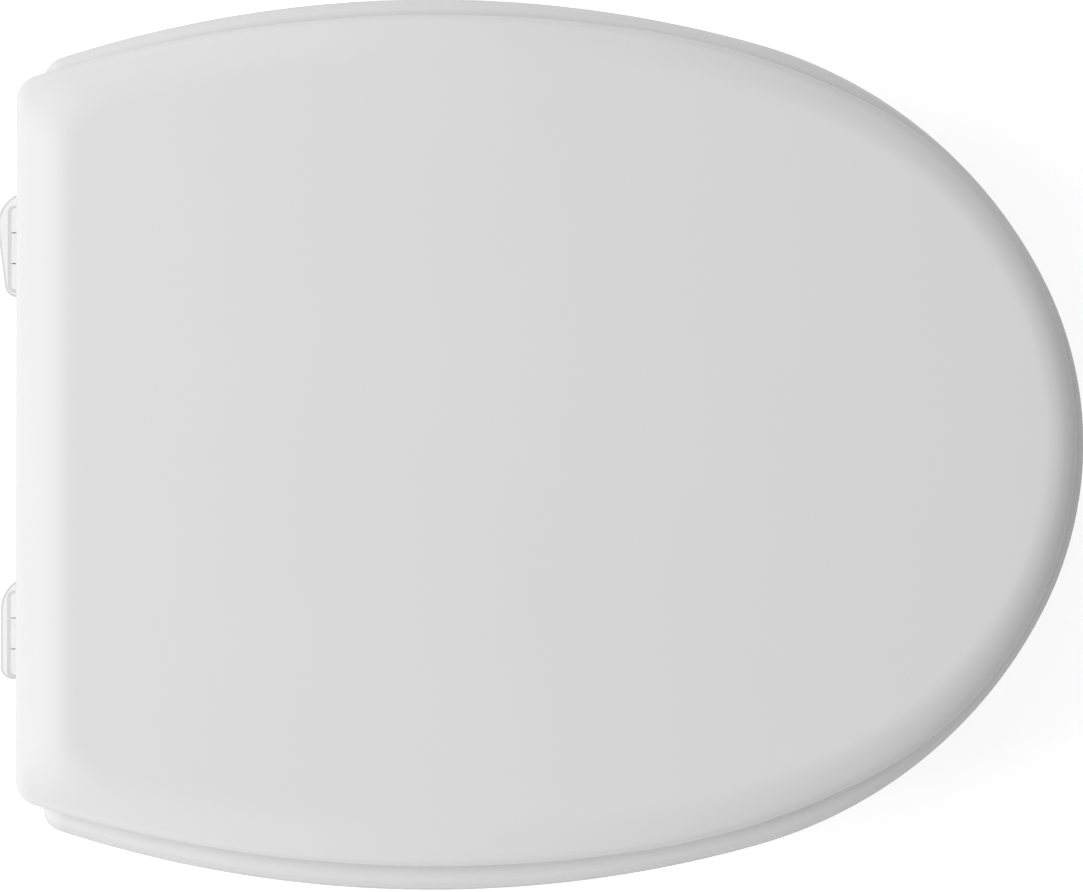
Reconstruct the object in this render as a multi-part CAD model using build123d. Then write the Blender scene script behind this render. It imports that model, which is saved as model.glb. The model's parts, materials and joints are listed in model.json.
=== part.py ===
from build123d import *
import os
from math import acos, cos, radians, sin, sqrt

# Toilet seat, closed: a crowned lid over a seat ring, on two plated three-knuckle hinges.
# Millimetres. The origin is midway between the two studs on the pan's rim, +Z is up and
# the front of the seat points to -Y.

# Fixing to the pan
STUD_SPACING = 155.0
PAN_THICKNESS = 22.0

# Seat ring: the outline is arcs of a radius and a turn, chained from the front tip
RING_REACH = 420.0
RING_TIP_R = 146.0
RING_TIP_ANGLE = 26.0
RING_FLANK_R = 185.0
RING_FLANK_ANGLE = 48.3
RING_SIDE_R = 482.0
RING_SHOULDER_R = 9.5
RING_THICKNESS = 19.0
RING_OUTER_ROLL = 8.5
RING_INNER_ROLL = 12.0
RING_UNDER_ROUND = 2.5
HOLE_HALF_WIDTH = 110.0
HOLE_WIDEST_REACH = 185.0
HOLE_FRONT_LENGTH = 172.0
HOLE_REAR_LENGTH = 115.0

# Lid: the same kind of outline, inside the ring's at the sides and past it at the rear
LID_REACH = 417.0
LID_TIP_R = 152.0
LID_TIP_ANGLE = 62.0
LID_FLANK_R = 290.0
LID_FLANK_ANGLE = 19.0
LID_SIDE_R = 541.0
LID_CORNER_R = 10.5
LID_THICKNESS = 16.0
LID_CROWN_R = 6000.0
LID_ROLL = 9.0
LID_UNDER_ROUND = 1.8
LID_OVERHANG = 1.9

# Hinge barrel and pin
PIVOT_BACK = 6.0
BARREL_R = 5.5
BARREL_CLEAR = 0.6
CENTRE_KNUCKLE = 12.0
OUTER_KNUCKLE = 11.0
KNUCKLE_GAP = 0.4
KNUCKLE_DOME = 2.5
PIN_R = 2.5
PIN_ENTRY = 9.0
PIN_END_ROOM = 0.3
RUNNING_CLEAR = 0.06
SEATED_CLEAR = 0.02

# Hinge post: a crook that carries the centre knuckle, a neck, and a foot swept out behind
RING_TO_BARREL = 3.5
RING_TO_NECK = 1.0
NECK_THICKNESS = 3.8
CROOK_DROP = 3.0
SWEEP_R = 10.0
SWEEP_FLOOR = 0.7
FOOT_HEIGHT = 3.0
FOOT_REAR = 8.0
FLARE_R = 4.0

# Hinge leaves
LEAF_THICKNESS = 2.0
LEAF_START = 8.0
LEAF_LENGTH = 30.0
LEAF_WIDTH = 32.0
LEAF_SHIFT = 4.0
LEAF_CORNER_R = 5.0
CRANK_THICKNESS = 2.5
CRANK_CLEAR = 0.4
CRANK_DROP = 2.0
CRANK_BEND_R = 3.0

# Rosette and gasket under each post
ROSETTE_LENGTH = 42.0
ROSETTE_DEPTH = 29.0
ROSETTE_OFFSET = 5.0
ROSETTE_ROUND_R = 14.0
ROSETTE_SQUARE_R = 5.0
ROSETTE_THICKNESS = 3.8
ROSETTE_EDGE_R = 3.0
ROSETTE_HOLE_R = 3.2
RIGHT_ROSETTE_ANGLE = 7.0
LEFT_ROSETTE_ANGLE = 0.0
GASKET_THICKNESS = 1.2
GASKET_INSET = 0.8

# Stud, and what clamps it under the pan
STUD_R = 3.0
THREAD_R = 2.75
STUD_ENTRY = 4.0
SHANK_LENGTH = 15.0
STUD_REACH = 58.0
STUD_CHAMFER = 0.8
CONE_NOSE = 6.0
CONE_NOSE_R = 4.8
CONE_ROOT_R = 6.8
CONE_FLANGE_R = 13.0
CONE_FLANGE = 3.0
WASHER_R = 9.0
WASHER_THICKNESS = 1.5
WASHER_CLEAR = 0.25
NUT_HEIGHT = 12.0
NUT_TOP_R = 7.5
NUT_BOTTOM_R = 6.0
WING_SPAN = 42.0
WING_DROP = 7.0
WING_ROOT_R = 4.0
WING_TIP_R = 5.0
WING_THICKNESS = 3.2

# Buffers
RING_BUFFER_HEIGHT = 9.0
RING_BUFFER_LENGTH = 36.0
RING_BUFFER_WIDTH = 14.0
RING_BUFFER_ROUND = 1.5
BUFFER_BORE_DEPTH = 4.5
LID_BUFFER_HEIGHT = 4.0
LID_BUFFER_R = 7.0
LID_BUFFER_ROUND = 1.2
LID_BUFFER_STEM_R = 2.5
LID_BUFFER_STEM = 6.0
BUFFER_REST = 0.1
FRONT_BUFFER_ANGLE = 55.0
FRONT_BUFFER_INSET = 36.0
REAR_BUFFER_ANGLE = 96.0
REAR_BUFFER_INSET = 46.0

# Screws
SCREW_HEAD_R = 3.6
SCREW_HEAD = 1.8
SCREW_SHANK_R = 1.9
SCREW_POINT = 2.5
SCREW_POINT_R = 0.5
LID_SCREW_LENGTH = 11.0
SEAT_SCREW_LENGTH = 15.0
BUFFER_SCREW_LENGTH = 14.0
SCREW_EDGE = 7.0
BORE_CLEAR = 0.4

# Heights and places that follow from the sizes above
RING_UNDER = RING_BUFFER_HEIGHT
RING_TOP = RING_UNDER + RING_THICKNESS
LID_UNDER = RING_TOP + BUFFER_REST + LID_BUFFER_HEIGHT
LID_TOP = LID_UNDER + LID_THICKNESS
PIVOT_Z = LID_UNDER - BARREL_CLEAR - BARREL_R
RING_REAR = PIVOT_BACK - BARREL_R - RING_TO_BARREL
LID_REAR = PIVOT_BACK + LID_OVERHANG
NECK_FRONT = RING_REAR + RING_TO_NECK
NECK_REAR = NECK_FRONT + NECK_THICKNESS
LEAF_REAR = RING_REAR - LEAF_START
ROSETTE_TOP = GASKET_THICKNESS + ROSETTE_THICKNESS
INNER_END = CENTRE_KNUCKLE / 2 + KNUCKLE_GAP
OUTER_END = INNER_END + OUTER_KNUCKLE
STRAP_END = OUTER_END - KNUCKLE_DOME
LEAF_MIDDLE = (INNER_END + OUTER_END) / 2 - LEAF_SHIFT
WASHER_TOP = -PAN_THICKNESS - CONE_FLANGE
NUT_TOP = WASHER_TOP - WASHER_THICKNESS
SIDES = {"right": STUD_SPACING / 2, "left": -STUD_SPACING / 2}
ROSETTE_ANGLES = {"right": RIGHT_ROSETTE_ANGLE, "left": LEFT_ROSETTE_ANGLE}
RING_FRONT_ARCS = [(RING_TIP_R, RING_TIP_ANGLE), (RING_FLANK_R, RING_FLANK_ANGLE)]
LID_FRONT_ARCS = [(LID_TIP_R, LID_TIP_ANGLE), (LID_FLANK_R, LID_FLANK_ANGLE)]
CORNERS = {
    "front_right": (1, FRONT_BUFFER_ANGLE, FRONT_BUFFER_INSET),
    "front_left": (-1, FRONT_BUFFER_ANGLE, FRONT_BUFFER_INSET),
    "rear_right": (1, REAR_BUFFER_ANGLE, REAR_BUFFER_INSET),
    "rear_left": (-1, REAR_BUFFER_ANGLE, REAR_BUFFER_INSET),
}


def arc_point(start, radius, heading_0, heading):
    """Point of an arc that leaves start on heading_0 and has turned left to heading, in radians."""
    across = start[0] + radius * (sin(heading) - sin(heading_0))
    along = start[1] + radius * (cos(heading_0) - cos(heading))
    return (across, along)


def seat_outline(reach, front_arcs, side_r, rear, corner_r):
    """Face with arcs chained from the front tip, a long arc on each side and a straight rear edge."""
    point = (0.0, -reach)
    heading = 0.0
    edges = []
    for radius, turn in front_arcs:
        middle = arc_point(point, radius, heading, heading + radians(turn) / 2)
        end = arc_point(point, radius, heading, heading + radians(turn))
        edges.append(ThreePointArc(point, middle, end))
        point = end
        heading += radians(turn)
    last = acos(cos(heading) - (rear - point[1]) / side_r)
    middle = arc_point(point, side_r, heading, (heading + last) / 2)
    end = arc_point(point, side_r, heading, last)
    edges.append(ThreePointArc(point, middle, end))
    edges.append(Line(end, (0.0, rear)))
    edges.append(Line((0.0, rear), (0.0, -reach)))
    half = make_face(edges)
    whole = half + mirror(half, about=Plane.YZ)
    return fillet(whole.vertices().sort_by(Axis.Y)[-2:], corner_r)


def corner_place(side, angle, inset):
    """Place and turn of a corner's buffers: inset from the ring's edge where that has turned by angle."""
    point = (0.0, -RING_REACH)
    heading = 0.0
    for radius, turn in RING_FRONT_ARCS + [(RING_SIDE_R, angle)]:
        onward = min(heading + radians(turn), radians(angle))
        point = arc_point(point, radius, heading, onward)
        heading = onward
    across = point[0] - inset * sin(heading)
    along = point[1] + inset * cos(heading)
    return (side * across, along, side * angle)


def hole_outline():
    """Egg-shaped opening: a short half ellipse behind its widest line and a long one in front."""
    centre = (0.0, -HOLE_WIDEST_REACH)
    rear = EllipticalCenterArc(centre, HOLE_HALF_WIDTH, HOLE_REAR_LENGTH, 0, arc_size=180)
    front = EllipticalCenterArc(centre, HOLE_HALF_WIDTH, HOLE_FRONT_LENGTH, 180, arc_size=180)
    return make_face([rear, front])


def ring_blank():
    """Ring with a flat underside, a rolled outer edge and a softer roll into the opening."""
    outer = seat_outline(RING_REACH, RING_FRONT_ARCS, RING_SIDE_R, RING_REAR, RING_SHOULDER_R)
    ring = extrude(Pos(0, 0, RING_UNDER) * (outer - hole_outline()), amount=RING_THICKNESS)
    ring = fillet(ring.faces().sort_by(Axis.Z)[-1].inner_wires()[0].edges(), RING_INNER_ROLL)
    ring = fillet(ring.faces().sort_by(Axis.Z)[-1].outer_wire().edges(), RING_OUTER_ROLL)
    return fillet(ring.faces().sort_by(Axis.Z)[0].edges(), RING_UNDER_ROUND)


def lid_blank():
    """Lid with a flat underside, a spherical crown and a rolled edge all round."""
    face = seat_outline(LID_REACH, LID_FRONT_ARCS, LID_SIDE_R, LID_REAR, LID_CORNER_R)
    slab = extrude(Pos(0, 0, LID_UNDER) * face, amount=2 * LID_THICKNESS)
    middle = (LID_REAR - LID_REACH) / 2
    crown = Pos(0, middle, LID_TOP - LID_CROWN_R) * Rot(90, 0, 0) * Sphere(LID_CROWN_R)
    lid = slab & crown
    lid = fillet(lid.faces().sort_by(Axis.Z)[-1].edges(), LID_ROLL)
    return fillet(lid.faces().sort_by(Axis.Z)[0].edges(), LID_UNDER_ROUND)


def upright_cylinder(radius, height):
    """Cylinder that stands on the origin."""
    return Cylinder(radius, height, align=(Align.CENTER, Align.CENTER, Align.MIN))


def upright_cone(bottom_r, top_r, height):
    """Cone frustum that stands on the origin."""
    return Cone(bottom_r, top_r, height, align=(Align.CENTER, Align.CENTER, Align.MIN))


def along_barrel(solid, x_from):
    """Lay an upright solid on the pivot line, so that it runs from x_from to +X."""
    return Pos(x_from, PIVOT_BACK, PIVOT_Z) * Rot(0, 90, 0) * solid


def screw(length):
    """Countersunk wood screw that stands on the face of its head."""
    shank_length = length - SCREW_HEAD - SCREW_POINT
    head = upright_cone(SCREW_HEAD_R, SCREW_SHANK_R, SCREW_HEAD)
    shank = Pos(0, 0, SCREW_HEAD) * upright_cylinder(SCREW_SHANK_R, shank_length)
    point = Pos(0, 0, length - SCREW_POINT) * upright_cone(SCREW_SHANK_R, SCREW_POINT_R, SCREW_POINT)
    return head + shank + point


def outer_knuckle():
    """Knuckle on the +X end of the barrel, with a domed end."""
    knuckle = along_barrel(upright_cylinder(BARREL_R, OUTER_KNUCKLE), INNER_END)
    return fillet(knuckle.edges().filter_by(GeomType.CIRCLE).sort_by(Axis.X)[-1], KNUCKLE_DOME)


def knuckle_bore():
    """Blind bore of an outer knuckle, in which it turns on the pin."""
    return along_barrel(upright_cylinder(PIN_R + RUNNING_CLEAR, PIN_ENTRY + PIN_END_ROOM), INNER_END)


def leaf_plate(under):
    """Flat of a leaf: a plate for three screws, standing at height under."""
    plate = Pos(LEAF_MIDDLE, LEAF_REAR - LEAF_LENGTH / 2, under)
    return extrude(plate * RectangleRounded(LEAF_WIDTH, LEAF_LENGTH, LEAF_CORNER_R), amount=LEAF_THICKNESS)


def leaf_screws(length, head_z):
    """The three screws of a leaf: two near its rear corners and one near its front."""
    reach = LEAF_WIDTH / 2 - SCREW_EDGE
    rear = LEAF_REAR - SCREW_EDGE
    front = LEAF_REAR - LEAF_LENGTH + SCREW_EDGE
    places = [(LEAF_MIDDLE - reach, rear), (LEAF_MIDDLE + reach, rear), (LEAF_MIDDLE, front)]
    return [Pos(x, y, head_z) * screw(length) for x, y in places]


def lid_leaf():
    """Leaf under the lid: a straight strap runs off the top of its knuckle."""
    under = LID_UNDER - LEAF_THICKNESS
    strap_front = LEAF_REAR - LEAF_CORNER_R
    strap_middle = ((INNER_END + STRAP_END) / 2, (PIVOT_BACK + strap_front) / 2)
    strap = Pos(*strap_middle, under) * Rectangle(STRAP_END - INNER_END, PIVOT_BACK - strap_front)
    return outer_knuckle() + extrude(strap, amount=LEAF_THICKNESS) + leaf_plate(under) - knuckle_bore()


def crank_profile():
    """Side view of the seat leaf's crank: from the knuckle, down behind the ring and under it."""
    front = RING_REAR + CRANK_CLEAR
    rear = front + CRANK_THICKNESS
    bottom = RING_UNDER - LEAF_THICKNESS
    top = PIVOT_Z - CRANK_DROP
    shelf_front = LEAF_REAR - LEAF_CORNER_R
    knuckle = Pos(PIVOT_BACK, PIVOT_Z) * Circle(BARREL_R)
    crook = Pos((front + rear) / 2, top) * Circle(CRANK_THICKNESS / 2)
    head = make_hull(knuckle.edges() + crook.edges())
    web = Pos((front + rear) / 2, (bottom + top) / 2) * Rectangle(CRANK_THICKNESS, top - bottom)
    shelf = Pos((shelf_front + rear) / 2, bottom + LEAF_THICKNESS / 2)
    bend = web + shelf * Rectangle(rear - shelf_front, LEAF_THICKNESS)
    heel = max(bend.vertices(), key=lambda corner: corner.X - corner.Y)
    return head + fillet(heel, CRANK_BEND_R)


def seat_leaf():
    """Leaf under the ring: a crank joins its knuckle to the plate."""
    crank = extrude(Pos(INNER_END, 0, 0) * (Plane.YZ * crank_profile()), amount=STRAP_END - INNER_END)
    return outer_knuckle() + crank + leaf_plate(RING_UNDER - LEAF_THICKNESS) - knuckle_bore()


def post_profile():
    """Side view of the post: the centre knuckle and its crook in one hull, the neck and the foot."""
    crook_r = NECK_THICKNESS / 2
    crook_z = PIVOT_Z - CROOK_DROP
    knuckle = Pos(PIVOT_BACK, PIVOT_Z) * Circle(BARREL_R)
    crook = Pos(NECK_FRONT + crook_r, crook_z) * Circle(crook_r)
    head = make_hull(knuckle.edges() + crook.edges())

    diagonal = sqrt(0.5)
    foot_front = NECK_FRONT - FLARE_R
    foot_top = ROSETTE_TOP + FOOT_HEIGHT
    flare_top = foot_top + FLARE_R
    flare_middle = (foot_front + FLARE_R * diagonal, flare_top - FLARE_R * diagonal)
    sweep_y = NECK_REAR + SWEEP_R
    sweep_z = ROSETTE_TOP + SWEEP_FLOOR + SWEEP_R
    heel_z = sweep_z - sqrt(SWEEP_R**2 - (sweep_y - FOOT_REAR) ** 2)
    sweep_middle = (sweep_y - SWEEP_R * diagonal, sweep_z - SWEEP_R * diagonal)
    edges = [
        Line((NECK_REAR, crook_z), (NECK_FRONT, crook_z)),
        Line((NECK_FRONT, crook_z), (NECK_FRONT, flare_top)),
        ThreePointArc((NECK_FRONT, flare_top), flare_middle, (foot_front, foot_top)),
        Line((foot_front, foot_top), (foot_front, ROSETTE_TOP)),
        Line((foot_front, ROSETTE_TOP), (FOOT_REAR, ROSETTE_TOP)),
        Line((FOOT_REAR, ROSETTE_TOP), (FOOT_REAR, heel_z)),
        ThreePointArc((FOOT_REAR, heel_z), sweep_middle, (NECK_REAR, sweep_z)),
        Line((NECK_REAR, sweep_z), (NECK_REAR, crook_z)),
    ]
    return head + make_face(edges)


def post():
    """Post with a bore for the pin and a tapped hole for the stud."""
    body = extrude(Plane.YZ * post_profile(), amount=CENTRE_KNUCKLE / 2, both=True)
    bore = along_barrel(upright_cylinder(PIN_R + SEATED_CLEAR, CENTRE_KNUCKLE), -CENTRE_KNUCKLE / 2)
    tapping = Pos(0, 0, ROSETTE_TOP) * upright_cylinder(THREAD_R + SEATED_CLEAR, STUD_ENTRY)
    return body - bore - tapping


def pin():
    """Hinge pin, held in the post and standing out into both outer knuckles."""
    end = INNER_END + PIN_ENTRY
    return along_barrel(upright_cylinder(PIN_R, 2 * end), -end)


def rosette_outline():
    """Oblong with one round end and one square end, off centre on the stud."""
    outline = Pos(ROSETTE_OFFSET, 0) * Rectangle(ROSETTE_LENGTH, ROSETTE_DEPTH)
    outline = fillet(outline.vertices().sort_by(Axis.X)[:2], ROSETTE_SQUARE_R)
    return fillet(outline.vertices().sort_by(Axis.X)[-2:], min(ROSETTE_ROUND_R, 0.48 * ROSETTE_DEPTH))


def rosette():
    """Plated cover plate that spreads the post's load, with a rounded upper edge."""
    plate = extrude(Pos(0, 0, GASKET_THICKNESS) * rosette_outline(), amount=ROSETTE_THICKNESS)
    edge_r = min(ROSETTE_EDGE_R, 0.8 * ROSETTE_THICKNESS)
    plate = fillet(plate.faces().sort_by(Axis.Z)[-1].edges(), edge_r)
    return plate - upright_cylinder(ROSETTE_HOLE_R, 2 * ROSETTE_TOP)


def gasket():
    """Soft pad between the rosette and the pan."""
    pad = extrude(offset(rosette_outline(), amount=-GASKET_INSET), amount=GASKET_THICKNESS)
    return pad - upright_cylinder(ROSETTE_HOLE_R, 2 * GASKET_THICKNESS)


def stud():
    """Stud: a threaded end up in the post, a plain shank in the pan, a threaded end below."""
    upper = upright_cylinder(THREAD_R, ROSETTE_TOP + STUD_ENTRY)
    shank = Pos(0, 0, -SHANK_LENGTH) * upright_cylinder(STUD_R, SHANK_LENGTH)
    lower = Pos(0, 0, -STUD_REACH) * upright_cylinder(THREAD_R, STUD_REACH - SHANK_LENGTH)
    lower = chamfer(lower.edges().sort_by(Axis.Z)[0], STUD_CHAMFER)
    return upper + shank + lower


def centring_cone():
    """Soft cone that centres the stud in the pan's hole, with a flange that bears on the pan."""
    nose = Pos(0, 0, -PAN_THICKNESS) * upright_cone(CONE_ROOT_R, CONE_NOSE_R, CONE_NOSE)
    flange = Pos(0, 0, WASHER_TOP) * upright_cylinder(CONE_FLANGE_R, CONE_FLANGE)
    flange = fillet(flange.edges().filter_by(GeomType.CIRCLE), CONE_FLANGE / 4)
    bore = Pos(0, 0, WASHER_TOP) * upright_cylinder(THREAD_R + SEATED_CLEAR, CONE_FLANGE + CONE_NOSE)
    return nose + flange - bore


def flat_washer():
    """Flat washer between the cone and the nut."""
    disc = Pos(0, 0, NUT_TOP) * upright_cylinder(WASHER_R, WASHER_THICKNESS)
    return disc - Pos(0, 0, NUT_TOP) * upright_cylinder(THREAD_R + WASHER_CLEAR, WASHER_THICKNESS)


def wing_nut():
    """Wing nut: a tapered hub with two ears that slope down and out."""
    hub = Pos(0, 0, NUT_TOP - NUT_HEIGHT) * upright_cone(NUT_BOTTOM_R, NUT_TOP_R, NUT_HEIGHT)
    root = Pos(NUT_BOTTOM_R - WING_ROOT_R / 2, NUT_TOP - NUT_HEIGHT / 2) * Circle(WING_ROOT_R)
    tip_z = NUT_TOP - NUT_HEIGHT / 2 - WING_DROP
    tip = Pos(WING_SPAN / 2 - WING_TIP_R, tip_z) * Circle(WING_TIP_R)
    ear = extrude(Plane.XZ * make_hull(root.edges() + tip.edges()), amount=WING_THICKNESS / 2, both=True)
    bore = Pos(0, 0, NUT_TOP - NUT_HEIGHT) * upright_cylinder(THREAD_R + SEATED_CLEAR, NUT_HEIGHT)
    return hub + ear + mirror(ear, about=Plane.YZ) - bore


def ring_buffer():
    """Long buffer under the ring, with a counterbore for its screw."""
    body = extrude(SlotOverall(RING_BUFFER_LENGTH, RING_BUFFER_WIDTH), amount=RING_BUFFER_HEIGHT)
    body = fillet(body.faces().sort_by(Axis.Z)[0].edges(), RING_BUFFER_ROUND)
    return body - upright_cylinder(SCREW_HEAD_R + BORE_CLEAR, BUFFER_BORE_DEPTH)


def lid_buffer():
    """Round buffer under the lid, pushed into it by its stem."""
    pad = upright_cylinder(LID_BUFFER_R, LID_BUFFER_HEIGHT)
    pad = fillet(pad.edges().filter_by(GeomType.CIRCLE).sort_by(Axis.Z)[0], LID_BUFFER_ROUND)
    return pad + upright_cylinder(LID_BUFFER_STEM_R, LID_BUFFER_HEIGHT + LID_BUFFER_STEM)


def cut(solid, tools):
    """The solid with each tool's space cut out of it."""
    for tool in tools:
        solid = solid - tool
    return solid


def hinge_nodes(side, x):
    """All pieces of one hinge by node name, with the screws of its two leaves as lists."""
    place = Pos(x, 0, 0)
    lid_screws = leaf_screws(LID_SCREW_LENGTH, LID_UNDER - LEAF_THICKNESS)
    seat_screws = leaf_screws(SEAT_SCREW_LENGTH, RING_UNDER - LEAF_THICKNESS)
    other_end = [mirror(one, about=Plane.YZ) for one in seat_screws]
    turn = Rot(0, 0, ROSETTE_ANGLES[side])
    nodes = {
        f"{side}_post": place * post(),
        f"{side}_pin": place * pin(),
        f"{side}_lid_leaf": place * cut(lid_leaf(), lid_screws),
        f"{side}_seat_leaf": place * mirror(cut(seat_leaf(), seat_screws), about=Plane.YZ),
        f"{side}_rosette": place * turn * rosette(),
        f"{side}_gasket": place * turn * gasket(),
        f"{side}_stud": place * stud(),
        f"{side}_centring_cone": place * centring_cone(),
        f"{side}_flat_washer": place * flat_washer(),
        f"{side}_wing_nut": place * wing_nut(),
    }
    return nodes, [place * one for one in lid_screws], [place * one for one in other_end]


def build():
    """Every node of the seat by name."""
    nodes = {}
    lid = lid_blank()
    ring = ring_blank()
    for side, x in SIDES.items():
        pieces, lid_screws, seat_screws = hinge_nodes(side, x)
        nodes.update(pieces)
        nodes[f"{side}_lid_screws"] = Compound(children=lid_screws)
        nodes[f"{side}_seat_screws"] = Compound(children=seat_screws)
        lid = cut(lid, lid_screws)
        ring = cut(ring, seat_screws)
    buffer_screws = []
    for corner, (side, angle, inset) in CORNERS.items():
        x, y, turn = corner_place(side, angle, inset)
        fastener = Pos(x, y, BUFFER_BORE_DEPTH) * screw(BUFFER_SCREW_LENGTH)
        long_buffer = Pos(x, y, 0) * Rot(0, 0, turn) * ring_buffer()
        round_buffer = Pos(x, y, RING_TOP + BUFFER_REST) * lid_buffer()
        buffer_screws.append(fastener)
        nodes[f"ring_buffer_{corner}"] = long_buffer - fastener
        nodes[f"lid_buffer_{corner}"] = round_buffer
        lid = lid - round_buffer
    nodes["ring_buffer_screws"] = Compound(children=buffer_screws)
    nodes["lid"] = lid
    nodes["seat_ring"] = cut(ring, buffer_screws)
    return nodes


os.makedirs("parts", exist_ok=True)
for name, solid in build().items():
    export_step(solid, f"parts/{name}.step")
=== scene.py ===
import json
import logging
from dataclasses import dataclass
from enum import Enum
from math import atan2, cos, hypot, pi, radians, sin, sqrt
from typing import Sequence

import bmesh
import bpy
import numpy as np
from mathutils import Matrix, Vector


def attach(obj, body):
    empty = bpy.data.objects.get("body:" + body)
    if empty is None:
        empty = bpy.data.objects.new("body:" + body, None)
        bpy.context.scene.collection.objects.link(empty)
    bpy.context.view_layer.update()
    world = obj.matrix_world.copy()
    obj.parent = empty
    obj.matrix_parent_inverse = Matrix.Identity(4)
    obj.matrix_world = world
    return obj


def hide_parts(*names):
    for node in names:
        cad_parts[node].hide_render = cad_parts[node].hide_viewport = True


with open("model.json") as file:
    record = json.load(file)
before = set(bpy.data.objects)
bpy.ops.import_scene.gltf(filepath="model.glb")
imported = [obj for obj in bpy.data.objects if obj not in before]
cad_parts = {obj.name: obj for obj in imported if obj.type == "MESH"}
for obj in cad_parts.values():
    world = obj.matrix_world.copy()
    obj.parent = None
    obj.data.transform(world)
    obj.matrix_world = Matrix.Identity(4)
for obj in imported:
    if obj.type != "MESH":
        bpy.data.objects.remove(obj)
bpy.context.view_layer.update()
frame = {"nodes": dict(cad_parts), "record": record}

LOG = logging.getLogger("toilet_seat")
# The merging gap is in metres, and the angles are in degrees.
MM = 0.001
MERGE_GAP = 2e-6
FLAT_ANGLE = 0.4
BEVEL_ANGLE = 38.0
BEVEL_SEGMENTS = 3
CRISP_ANGLE = 32.0
SMOOTH_ALL = 180.0
FACES_UP = 0.9
# Places of the colour sockets on a Mix node.
MIX_A, MIX_B, MIX_RESULT = 6, 7, 2
POLISH_STRETCH = (1.0, 0.12, 1.0)
Colour = tuple[float, float, float]
Sockets = Sequence[tuple[str, str]]


class LoftEnd(Enum):
    """How an end of a loft is closed."""

    FACE = "face"
    POLE = "pole"
    RING = "ring"


class Grain(Enum):
    """Kind of fine relief that a finish carries."""

    PEEL = "peel"
    POLISH = "polish"
    SPANGLE = "spangle"
    MOULDED = "moulded"


def deselect_all() -> None:
    """Leave object mode's selection empty."""
    if bpy.context.mode != "OBJECT":
        bpy.ops.object.mode_set(mode="OBJECT")
    bpy.ops.object.select_all(action="DESELECT")


def take(piece: bpy.types.Object) -> None:
    """Make a piece the only selected and the active object.

    Args:
        piece: object that is taken.
    """
    deselect_all()
    piece.select_set(True)
    bpy.context.view_layer.objects.active = piece


def apply_modifier(piece: bpy.types.Object, kind: str, **values: object) -> None:
    """Add a modifier with the given values and apply it.

    Args:
        piece: object that is changed.
        kind: Blender's name of the modifier.
        values: the modifier's settings.
    """
    take(piece)
    modifier = piece.modifiers.new(kind.lower(), kind)
    for key, value in values.items():
        setattr(modifier, key, value)
    bpy.ops.object.modifier_apply(modifier=modifier.name)


def smooth(piece: bpy.types.Object, degrees: float = SMOOTH_ALL) -> None:
    """Shade a piece smooth, with edges sharper than an angle kept crisp.

    Args:
        piece: object that is shaded.
        degrees: angle between two faces past which their edge stays crisp.
    """
    take(piece)
    if degrees >= SMOOTH_ALL:
        bpy.ops.object.shade_smooth()
    else:
        bpy.ops.object.shade_smooth_by_angle(angle=radians(degrees))


def place_selected(piece: bpy.types.Object, loop: np.ndarray) -> None:
    """Put the selected vertices of a piece in edit mode on a loop, by their station numbers.

    Args:
        piece: object in edit mode.
        loop: points in metres, in the order of the stations.
    """
    mesh = bmesh.from_edit_mesh(piece.data)
    station = mesh.verts.layers.int["station"]
    for vert in mesh.verts:
        if vert.select:
            vert.co = loop[vert[station]]
    bmesh.update_edit_mesh(piece.data)


def loft(name: str, loops: Sequence[np.ndarray], start: LoftEnd, end: LoftEnd) -> bpy.types.Object:
    """Extrude a circle through a row of closed loops with equal numbers of points.

    Args:
        name: name of the new piece.
        loops: arrays of points in metres, one array for each loop.
        start: how the first loop is closed.
        end: how the last loop is closed. RING joins it to the first loop.

    Returns:
        The closed piece, with smooth shading and normals that point outwards.
    """
    deselect_all()
    bpy.ops.mesh.primitive_circle_add(vertices=len(loops[0]), radius=1.0, fill_type="NOTHING")
    piece = bpy.context.active_object
    piece.name = name
    bpy.ops.object.mode_set(mode="EDIT")
    bpy.ops.mesh.select_all(action="SELECT")
    mesh = bmesh.from_edit_mesh(piece.data)
    station = mesh.verts.layers.int.new("station")
    for number, vert in enumerate(mesh.verts):
        vert[station] = number
    place_selected(piece, loops[0])
    for loop in loops[1:]:
        bpy.ops.mesh.extrude_region_move()
        place_selected(piece, loop)
    close_selected(end)
    if start is not LoftEnd.RING:
        bpy.ops.mesh.select_all(action="DESELECT")
        bpy.ops.mesh.select_non_manifold()
        close_selected(start)
    bpy.ops.mesh.select_all(action="SELECT")
    bpy.ops.mesh.normals_make_consistent(inside=False)
    bpy.ops.object.mode_set(mode="OBJECT")
    piece.data.attributes.remove(piece.data.attributes["station"])
    smooth(piece)
    return piece


def close_selected(end: LoftEnd) -> None:
    """Close the selected open loop of the piece in edit mode.

    Args:
        end: a flat face, a point in the middle, or a bridge to the other open loop.
    """
    if end is LoftEnd.FACE:
        bpy.ops.mesh.edge_face_add()
    elif end is LoftEnd.POLE:
        bpy.ops.mesh.merge(type="CENTER")
    else:
        bpy.ops.mesh.select_all(action="DESELECT")
        bpy.ops.mesh.select_non_manifold()
        bpy.ops.mesh.bridge_edge_loops()


def level(points: np.ndarray, height: float) -> np.ndarray:
    """Flat points in millimetres, raised to a height, as points in metres."""
    return np.column_stack([points, np.full(len(points), height)]) * MM


def copy_of(piece: bpy.types.Object, name: str, move: Matrix) -> bpy.types.Object:
    """Copy a piece with a mesh of its own, moved in its mesh.

    Args:
        piece: object that is copied.
        name: name of the copy.
        move: turn and shift of the copy's mesh.

    Returns:
        The copy, with its object at the origin.
    """
    mesh = piece.data.copy()
    mesh.transform(move)
    twin = bpy.data.objects.new(name, mesh)
    bpy.context.scene.collection.objects.link(twin)
    return twin


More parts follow.
